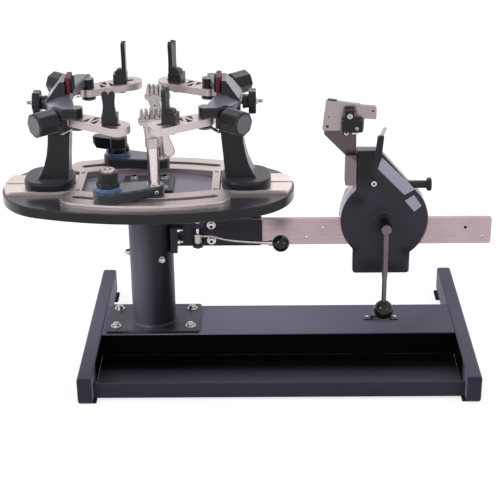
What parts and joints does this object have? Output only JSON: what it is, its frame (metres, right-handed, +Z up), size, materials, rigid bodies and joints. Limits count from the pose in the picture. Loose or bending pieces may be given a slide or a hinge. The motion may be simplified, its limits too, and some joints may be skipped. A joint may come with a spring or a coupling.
{
  "type": "racket stringing machine",
  "caption": "Table-top racket stringing machine: sheet-steel base, oval turntable with two head towers and fixed clamps, and a rail with a crank-driven tension head.",
  "frame": {"origin": "middle of the machine's bounding box on the table", "axes": "+X along the tension rail towards the tension head, +Y away from the operator, +Z up"},
  "size_m": [0.801, 0.4, 0.508],
  "materials": {
    "black_steel": "black powder coat, satin",
    "black_casting": "black paint, semi-gloss",
    "grey_casting": "fine cast",
    "brushed_steel": "brushed along the rail",
    "bright_steel": "polished",
    "satin_steel": "satin",
    "aluminium": "satin",
    "black_plastic": "moulded, satin",
    "maroon_pad": "matt",
    "rubber": "matt"
  },
  "bodies": {
    "stand": {"base_channel": "black_steel", "left_foot_bar": "black_steel", "right_foot_bar": "black_steel", "left_front_pad": "rubber", "left_rear_pad": "rubber", "right_front_pad": "rubber", "right_rear_pad": "rubber", "column_post": "black_steel", "bearing_sleeve": "bright_steel", "rail_bracket": "black_steel", "tension_rail": "brushed_steel", "tool_clip": "black_steel", "brake_pin": "bright_steel"},
    "brake": {"brake_lever": "bright_steel", "brake_ball": "black_plastic"},
    "turntable": {"spindle": "bright_steel", "turntable_deck": "black_steel", "left_deck_rail": "aluminium", "right_deck_rail": "aluminium", "glide_frame": "aluminium", "hub_plate": "black_steel"},
    "head": {"head_cover": "black_casting", "head_carriage": "grey_casting", "gripper_arm": "satin_steel", "gripper_plate": "satin_steel"},
    "crank": {"crank_arm": "bright_steel", "crank_ball": "black_plastic"},
    "jaw": {"gripper_jaw": "black_casting"},
    "head_lock": {"lock_lever": "black_plastic"},
    "head_knob": {"tension_knob": "bright_steel"},
    "left_support": {"left_tower": "black_casting", "left_tower_head": "black_casting", "left_frame_pad": "maroon_pad"},
    "right_support": {"right_tower": "black_casting", "right_tower_head": "black_casting", "right_frame_pad": "maroon_pad"},
    "left_star": {"left_star_knob": "black_plastic"},
    "right_star": {"right_star_knob": "black_plastic"},
    "left_front_dial": {"left_front_arm_knob": "black_plastic"},
    "left_rear_dial": {"left_rear_arm_knob": "black_plastic"},
    "right_front_dial": {"right_front_arm_knob": "black_plastic"},
    "right_rear_dial": {"right_rear_arm_knob": "black_plastic"},
    "left_front_side": {"left_front_arm": "aluminium"},
    "left_rear_side": {"left_rear_arm": "aluminium"},
    "right_front_side": {"right_front_arm": "aluminium"},
    "right_rear_side": {"right_rear_arm": "aluminium"},
    "left_front_finger": {"left_front_hook": "black_plastic"},
    "left_rear_finger": {"left_rear_hook": "black_plastic"},
    "right_front_finger": {"right_front_hook": "black_plastic"},
    "right_rear_finger": {"right_rear_hook": "black_plastic"},
    "front_stud": {"front_slide_stud": "bright_steel"},
    "rear_stud": {"rear_slide_stud": "bright_steel"},
    "front_lock": {"front_lock_knob": "black_plastic"},
    "rear_lock": {"rear_lock_knob": "black_plastic"},
    "front_base": {"front_clamp_base": "black_casting"},
    "rear_base": {"rear_clamp_base": "black_casting"},
    "front_jaws": {"front_clamp_head": "satin_steel"},
    "rear_jaws": {"rear_clamp_head": "satin_steel"},
    "front_cam": {"front_clamp_lever": "black_plastic"},
    "rear_cam": {"rear_clamp_lever": "black_plastic"}
  },
  "joints": [
    {"name": "turntable_spin", "type": "hinge", "parent": "stand", "child": "turntable", "pos_m": [-0.1625, 0, 0.27], "axis": [0, 0, 1], "continuous": true},
    {"name": "brake_swing", "type": "hinge", "parent": "stand", "child": "brake", "pos_m": [-0.0835, -0.022, 0.211], "axis": [0, 0, 1], "range_deg": [-30, 8]},
    {"name": "head_travel", "type": "slide", "parent": "stand", "child": "head", "axis": [1, 0, 0], "range_m": [0, 0.1]},
    {"name": "crank_turn", "type": "hinge", "parent": "head", "child": "crank", "pos_m": [0.2205, -0.04, 0.247], "axis": [0, 1, 0], "range_deg": [0, 360]},
    {"name": "gripper_open", "type": "slide", "parent": "head", "child": "jaw", "axis": [0, -1, 0], "range_m": [0, 0.004]},
    {"name": "lock_lever_swing", "type": "hinge", "parent": "head", "child": "head_lock", "pos_m": [0.2075, -0.042, 0.362], "axis": [0, 1, 0], "range_deg": [-6, 40]},
    {"name": "tension_knob_turn", "type": "hinge", "parent": "head", "child": "head_knob", "pos_m": [0.2805, -0.028, 0.306], "axis": [1, 0, 0], "continuous": true},
    {"name": "left_tower_slide", "type": "slide", "parent": "turntable", "child": "left_support", "axis": [-1, 0, 0], "range_m": [0, 0.035]},
    {"name": "right_tower_slide", "type": "slide", "parent": "turntable", "child": "right_support", "axis": [1, 0, 0], "range_m": [0, 0.035]},
    {"name": "left_star_turn", "type": "hinge", "parent": "left_support", "child": "left_star", "pos_m": [-0.3175, 0, 0.439], "axis": [-1, 0, 0], "continuous": true},
    {"name": "right_star_turn", "type": "hinge", "parent": "right_support", "child": "right_star", "pos_m": [-0.0075, 0, 0.439], "axis": [1, 0, 0], "continuous": true},
    {"name": "left_front_knob_turn", "type": "hinge", "parent": "left_support", "child": "left_front_dial", "pos_m": [-0.291, -0.0805, 0.438], "axis": [-0.7385, -0.6743, 0], "range_deg": [-900, 900]},
    {"name": "left_rear_knob_turn", "type": "hinge", "parent": "left_support", "child": "left_rear_dial", "pos_m": [-0.291, 0.0805, 0.438], "axis": [-0.7385, 0.6743, 0], "range_deg": [-900, 900]},
    {"name": "right_front_knob_turn", "type": "hinge", "parent": "right_support", "child": "right_front_dial", "pos_m": [-0.034, -0.0805, 0.438], "axis": [0.7385, -0.6743, 0], "range_deg": [-900, 900]},
    {"name": "right_rear_knob_turn", "type": "hinge", "parent": "right_support", "child": "right_rear_dial", "pos_m": [-0.034, 0.0805, 0.438], "axis": [0.7385, 0.6743, 0], "range_deg": [-900, 900]},
    {"name": "left_front_arm_swing", "type": "hinge", "parent": "left_support", "child": "left_front_side", "pos_m": [-0.2605, -0.073, 0.434], "axis": [0, 0, 1], "range_deg": [-6.3, 6.3]},
    {"name": "left_rear_arm_swing", "type": "hinge", "parent": "left_support", "child": "left_rear_side", "pos_m": [-0.2605, 0.073, 0.434], "axis": [0, 0, 1], "range_deg": [-6.3, 6.3]},
    {"name": "right_front_arm_swing", "type": "hinge", "parent": "right_support", "child": "right_front_side", "pos_m": [-0.0645, -0.073, 0.434], "axis": [0, 0, 1], "range_deg": [-6.3, 6.3]},
    {"name": "right_rear_arm_swing", "type": "hinge", "parent": "right_support", "child": "right_rear_side", "pos_m": [-0.0645, 0.073, 0.434], "axis": [0, 0, 1], "range_deg": [-6.3, 6.3]},
    {"name": "left_front_hook_slide", "type": "slide", "parent": "left_front_side", "child": "left_front_finger", "axis": [0.866, -0.5, 0], "range_m": [-0.008, 0.008]},
    {"name": "left_rear_hook_slide", "type": "slide", "parent": "left_rear_side", "child": "left_rear_finger", "axis": [0.866, 0.5, 0], "range_m": [-0.008, 0.008]},
    {"name": "right_front_hook_slide", "type": "slide", "parent": "right_front_side", "child": "right_front_finger", "axis": [-0.866, -0.5, 0], "range_m": [-0.008, 0.008]},
    {"name": "right_rear_hook_slide", "type": "slide", "parent": "right_rear_side", "child": "right_rear_finger", "axis": [-0.866, 0.5, 0], "range_m": [-0.008, 0.008]},
    {"name": "front_clamp_travel", "type": "hinge", "parent": "turntable", "child": "front_stud", "pos_m": [-0.1625, 0.318, 0.305], "axis": [0, 0, 1], "range_deg": [-6, 4]},
    {"name": "rear_clamp_travel", "type": "hinge", "parent": "turntable", "child": "rear_stud", "pos_m": [-0.1625, -0.318, 0.305], "axis": [0, 0, 1], "range_deg": [-4, 6]},
    {"name": "front_base_swivel", "type": "hinge", "parent": "front_stud", "child": "front_base", "pos_m": [-0.218, -0.07813, 0.313], "axis": [0, 0, 1], "range_deg": [-8, 12]},
    {"name": "rear_base_swivel", "type": "hinge", "parent": "rear_stud", "child": "rear_base", "pos_m": [-0.218, 0.07813, 0.313], "axis": [0, 0, 1], "range_deg": [-12, 8]},
    {"name": "front_lock_turn", "type": "hinge", "parent": "front_stud", "child": "front_lock", "pos_m": [-0.218, -0.07813, 0.338], "axis": [0, 0, 1], "range_deg": [-60, 60]},
    {"name": "rear_lock_turn", "type": "hinge", "parent": "rear_stud", "child": "rear_lock", "pos_m": [-0.218, 0.07813, 0.338], "axis": [0, 0, 1], "range_deg": [-60, 60]},
    {"name": "front_head_turn", "type": "hinge", "parent": "front_base", "child": "front_jaws", "pos_m": [-0.14797, -0.05752, 0.36], "axis": [0, 0, 1], "range_deg": [-15, 15]},
    {"name": "rear_head_turn", "type": "hinge", "parent": "rear_base", "child": "rear_jaws", "pos_m": [-0.14687, 0.06171, 0.36], "axis": [0, 0, 1], "range_deg": [-15, 15]},
    {"name": "front_lever_swing", "type": "hinge", "parent": "front_jaws", "child": "front_cam", "pos_m": [-0.12926, -0.05201, 0.402], "axis": [0.2823, -0.9593, 0], "range_deg": [0, 40]},
    {"name": "rear_lever_swing", "type": "hinge", "parent": "rear_jaws", "child": "rear_cam", "pos_m": [-0.12787, 0.05732, 0.402], "axis": [-0.225, -0.9744, 0], "range_deg": [0, 40]}
  ],
  "couplings": [
    {"joint": "crank_turn", "follows": "head_travel", "rad_per_m": 62.5},
    {"joint": "left_front_arm_swing", "follows": "left_front_knob_turn", "ratio": 0.0069444},
    {"joint": "left_rear_arm_swing", "follows": "left_rear_knob_turn", "ratio": -0.0069444},
    {"joint": "right_front_arm_swing", "follows": "right_front_knob_turn", "ratio": -0.0069444},
    {"joint": "right_rear_arm_swing", "follows": "right_rear_knob_turn", "ratio": 0.0069444}
  ]
}
